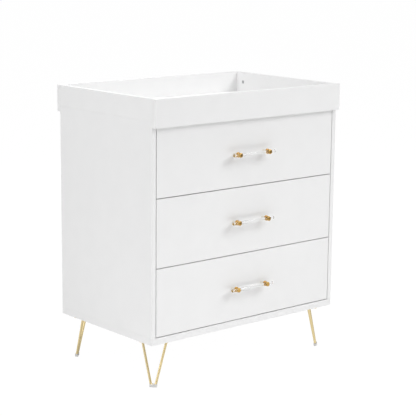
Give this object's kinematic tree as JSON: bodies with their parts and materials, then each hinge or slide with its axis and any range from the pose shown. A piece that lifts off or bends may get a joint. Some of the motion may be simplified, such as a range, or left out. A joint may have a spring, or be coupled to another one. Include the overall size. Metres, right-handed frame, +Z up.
{
  "type": "changing dresser",
  "caption": "White chest of inset drawers on gold hairpin legs, with clear bar handles and a lift-off changing tray that hangs over its front and rear edges.",
  "frame": {"origin": "on the floor, under the middle of the overall box", "axes": "+Z up, -Y the way the drawers open, +X to the right as seen from the front"},
  "size_m": [0.8, 0.5466, 0.9325],
  "materials": {
    "white_board": "satin white lacquered board",
    "white_hardboard": "matt white faced hardboard",
    "gold_plated_steel": "polished gold plating on steel rod",
    "polished_gold": "polished gold",
    "clear_acrylic": "clear, polished",
    "clear_foot": "clear to grey, moulded",
    "runner_enamel": "white epoxy enamel",
    "roller_nylon": "moulded nylon",
    "zinc": "die-cast zinc",
    "screw_steel": "zinc-plated steel"
  },
  "bodies": {
    "cabinet": {"side_panel_left": "white_board", "side_panel_right": "white_board", "top_panel": "white_board", "bottom_panel": "white_board", "back_panel": "white_hardboard", "cabinet_cam_fittings": "zinc", "cabinet_runner_screws": "screw_steel", "leg_front_left": "gold_plated_steel", "leg_front_right": "gold_plated_steel", "leg_rear_left": "gold_plated_steel", "leg_rear_right": "gold_plated_steel", "leg_screws": "screw_steel", "foot_caps": "clear_foot", "lower_cabinet_runners": "runner_enamel", "middle_cabinet_runners": "runner_enamel", "upper_cabinet_runners": "runner_enamel"},
    "lower_drawer": {"lower_drawer_front": "white_board", "lower_drawer_side_left": "white_board", "lower_drawer_side_right": "white_board", "lower_drawer_back": "white_board", "lower_drawer_base": "white_hardboard", "lower_drawer_cam_fittings": "zinc", "lower_drawer_screws": "screw_steel", "lower_drawer_runners": "runner_enamel", "lower_handle_bar": "clear_acrylic", "lower_handle_posts": "polished_gold", "lower_handle_bolts": "screw_steel"},
    "lower_cabinet_rollers": {"lower_cabinet_rollers": "roller_nylon"},
    "lower_drawer_rollers": {"lower_drawer_rollers": "roller_nylon"},
    "middle_drawer": {"middle_drawer_front": "white_board", "middle_drawer_side_left": "white_board", "middle_drawer_side_right": "white_board", "middle_drawer_back": "white_board", "middle_drawer_base": "white_hardboard", "middle_drawer_cam_fittings": "zinc", "middle_drawer_screws": "screw_steel", "middle_drawer_runners": "runner_enamel", "middle_handle_bar": "clear_acrylic", "middle_handle_posts": "polished_gold", "middle_handle_bolts": "screw_steel"},
    "middle_cabinet_rollers": {"middle_cabinet_rollers": "roller_nylon"},
    "middle_drawer_rollers": {"middle_drawer_rollers": "roller_nylon"},
    "upper_drawer": {"upper_drawer_front": "white_board", "upper_drawer_side_left": "white_board", "upper_drawer_side_right": "white_board", "upper_drawer_back": "white_board", "upper_drawer_base": "white_hardboard", "upper_drawer_cam_fittings": "zinc", "upper_drawer_screws": "screw_steel", "upper_drawer_runners": "runner_enamel", "upper_handle_bar": "clear_acrylic", "upper_handle_posts": "polished_gold", "upper_handle_bolts": "screw_steel"},
    "upper_cabinet_rollers": {"upper_cabinet_rollers": "roller_nylon"},
    "upper_drawer_rollers": {"upper_drawer_rollers": "roller_nylon"},
    "changing_tray": {"tray_front": "white_board", "tray_rear": "white_board", "tray_side_left": "white_board", "tray_side_right": "white_board", "tray_cam_fittings": "zinc"}
  },
  "joints": [
    {"name": "lower_drawer_slide", "type": "slide", "parent": "cabinet", "child": "lower_drawer", "axis": [0, -1, 0], "range_m": [0, 0.33]},
    {"name": "middle_drawer_slide", "type": "slide", "parent": "cabinet", "child": "middle_drawer", "axis": [0, -1, 0], "range_m": [0, 0.33]},
    {"name": "upper_drawer_slide", "type": "slide", "parent": "cabinet", "child": "upper_drawer", "axis": [0, -1, 0], "range_m": [0, 0.33]},
    {"name": "lower_cabinet_roller_spin", "type": "hinge", "parent": "cabinet", "child": "lower_cabinet_rollers", "pos_m": [0, -0.20425, 0.222], "axis": [1, 0, 0], "range_deg": [0, 1730]},
    {"name": "lower_drawer_roller_spin", "type": "hinge", "parent": "lower_drawer", "child": "lower_drawer_rollers", "pos_m": [0, 0.20375, 0.222], "axis": [1, 0, 0], "range_deg": [0, 1730]},
    {"name": "middle_cabinet_roller_spin", "type": "hinge", "parent": "cabinet", "child": "middle_cabinet_rollers", "pos_m": [0, -0.20425, 0.445], "axis": [1, 0, 0], "range_deg": [0, 1730]},
    {"name": "middle_drawer_roller_spin", "type": "hinge", "parent": "middle_drawer", "child": "middle_drawer_rollers", "pos_m": [0, 0.20375, 0.445], "axis": [1, 0, 0], "range_deg": [0, 1730]},
    {"name": "upper_cabinet_roller_spin", "type": "hinge", "parent": "cabinet", "child": "upper_cabinet_rollers", "pos_m": [0, -0.20425, 0.668], "axis": [1, 0, 0], "range_deg": [0, 1730]},
    {"name": "upper_drawer_roller_spin", "type": "hinge", "parent": "upper_drawer", "child": "upper_drawer_rollers", "pos_m": [0, 0.20375, 0.668], "axis": [1, 0, 0], "range_deg": [0, 1730]},
    {"name": "tray_lift", "type": "slide", "parent": "cabinet", "child": "changing_tray", "axis": [0, 0, 1], "range_m": [0, 0.12]}
  ],
  "couplings": [
    {"joint": "lower_cabinet_roller_spin", "follows": "lower_drawer_slide", "rad_per_m": 90.909},
    {"joint": "lower_drawer_roller_spin", "follows": "lower_drawer_slide", "rad_per_m": 90.909},
    {"joint": "middle_cabinet_roller_spin", "follows": "middle_drawer_slide", "rad_per_m": 90.909},
    {"joint": "middle_drawer_roller_spin", "follows": "middle_drawer_slide", "rad_per_m": 90.909},
    {"joint": "upper_cabinet_roller_spin", "follows": "upper_drawer_slide", "rad_per_m": 90.909},
    {"joint": "upper_drawer_roller_spin", "follows": "upper_drawer_slide", "rad_per_m": 90.909}
  ]
}
